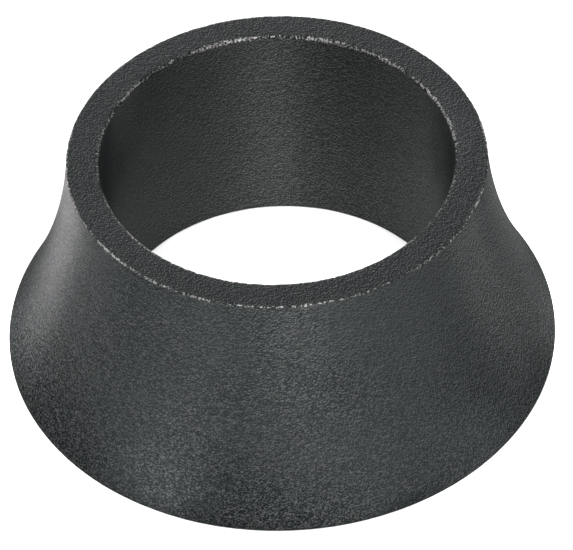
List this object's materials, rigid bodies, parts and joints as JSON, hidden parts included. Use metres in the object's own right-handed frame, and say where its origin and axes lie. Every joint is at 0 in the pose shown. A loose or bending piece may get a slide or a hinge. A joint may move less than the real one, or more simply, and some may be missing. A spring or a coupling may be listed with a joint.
{
  "type": "conical headset spacer",
  "caption": "Short flared ring with a straight bore, a concave conical outside and flat faces; tapers a bicycle headset up to its steerer spacers.",
  "frame": {"origin": "centre of the wide base face, on the bore's axis", "axes": "+Z along the bore's axis, from the wide base up to the narrow top; X and Y are interchangeable, as the ring is turned"},
  "size_m": [0.0456, 0.0456, 0.0197],
  "materials": {
    "anodised_black": "bead-blasted, black anodised, fine-grained satin"
  },
  "bodies": {
    "root": {"spacer_ring": "anodised_black"}
  },
  "joints": []
}
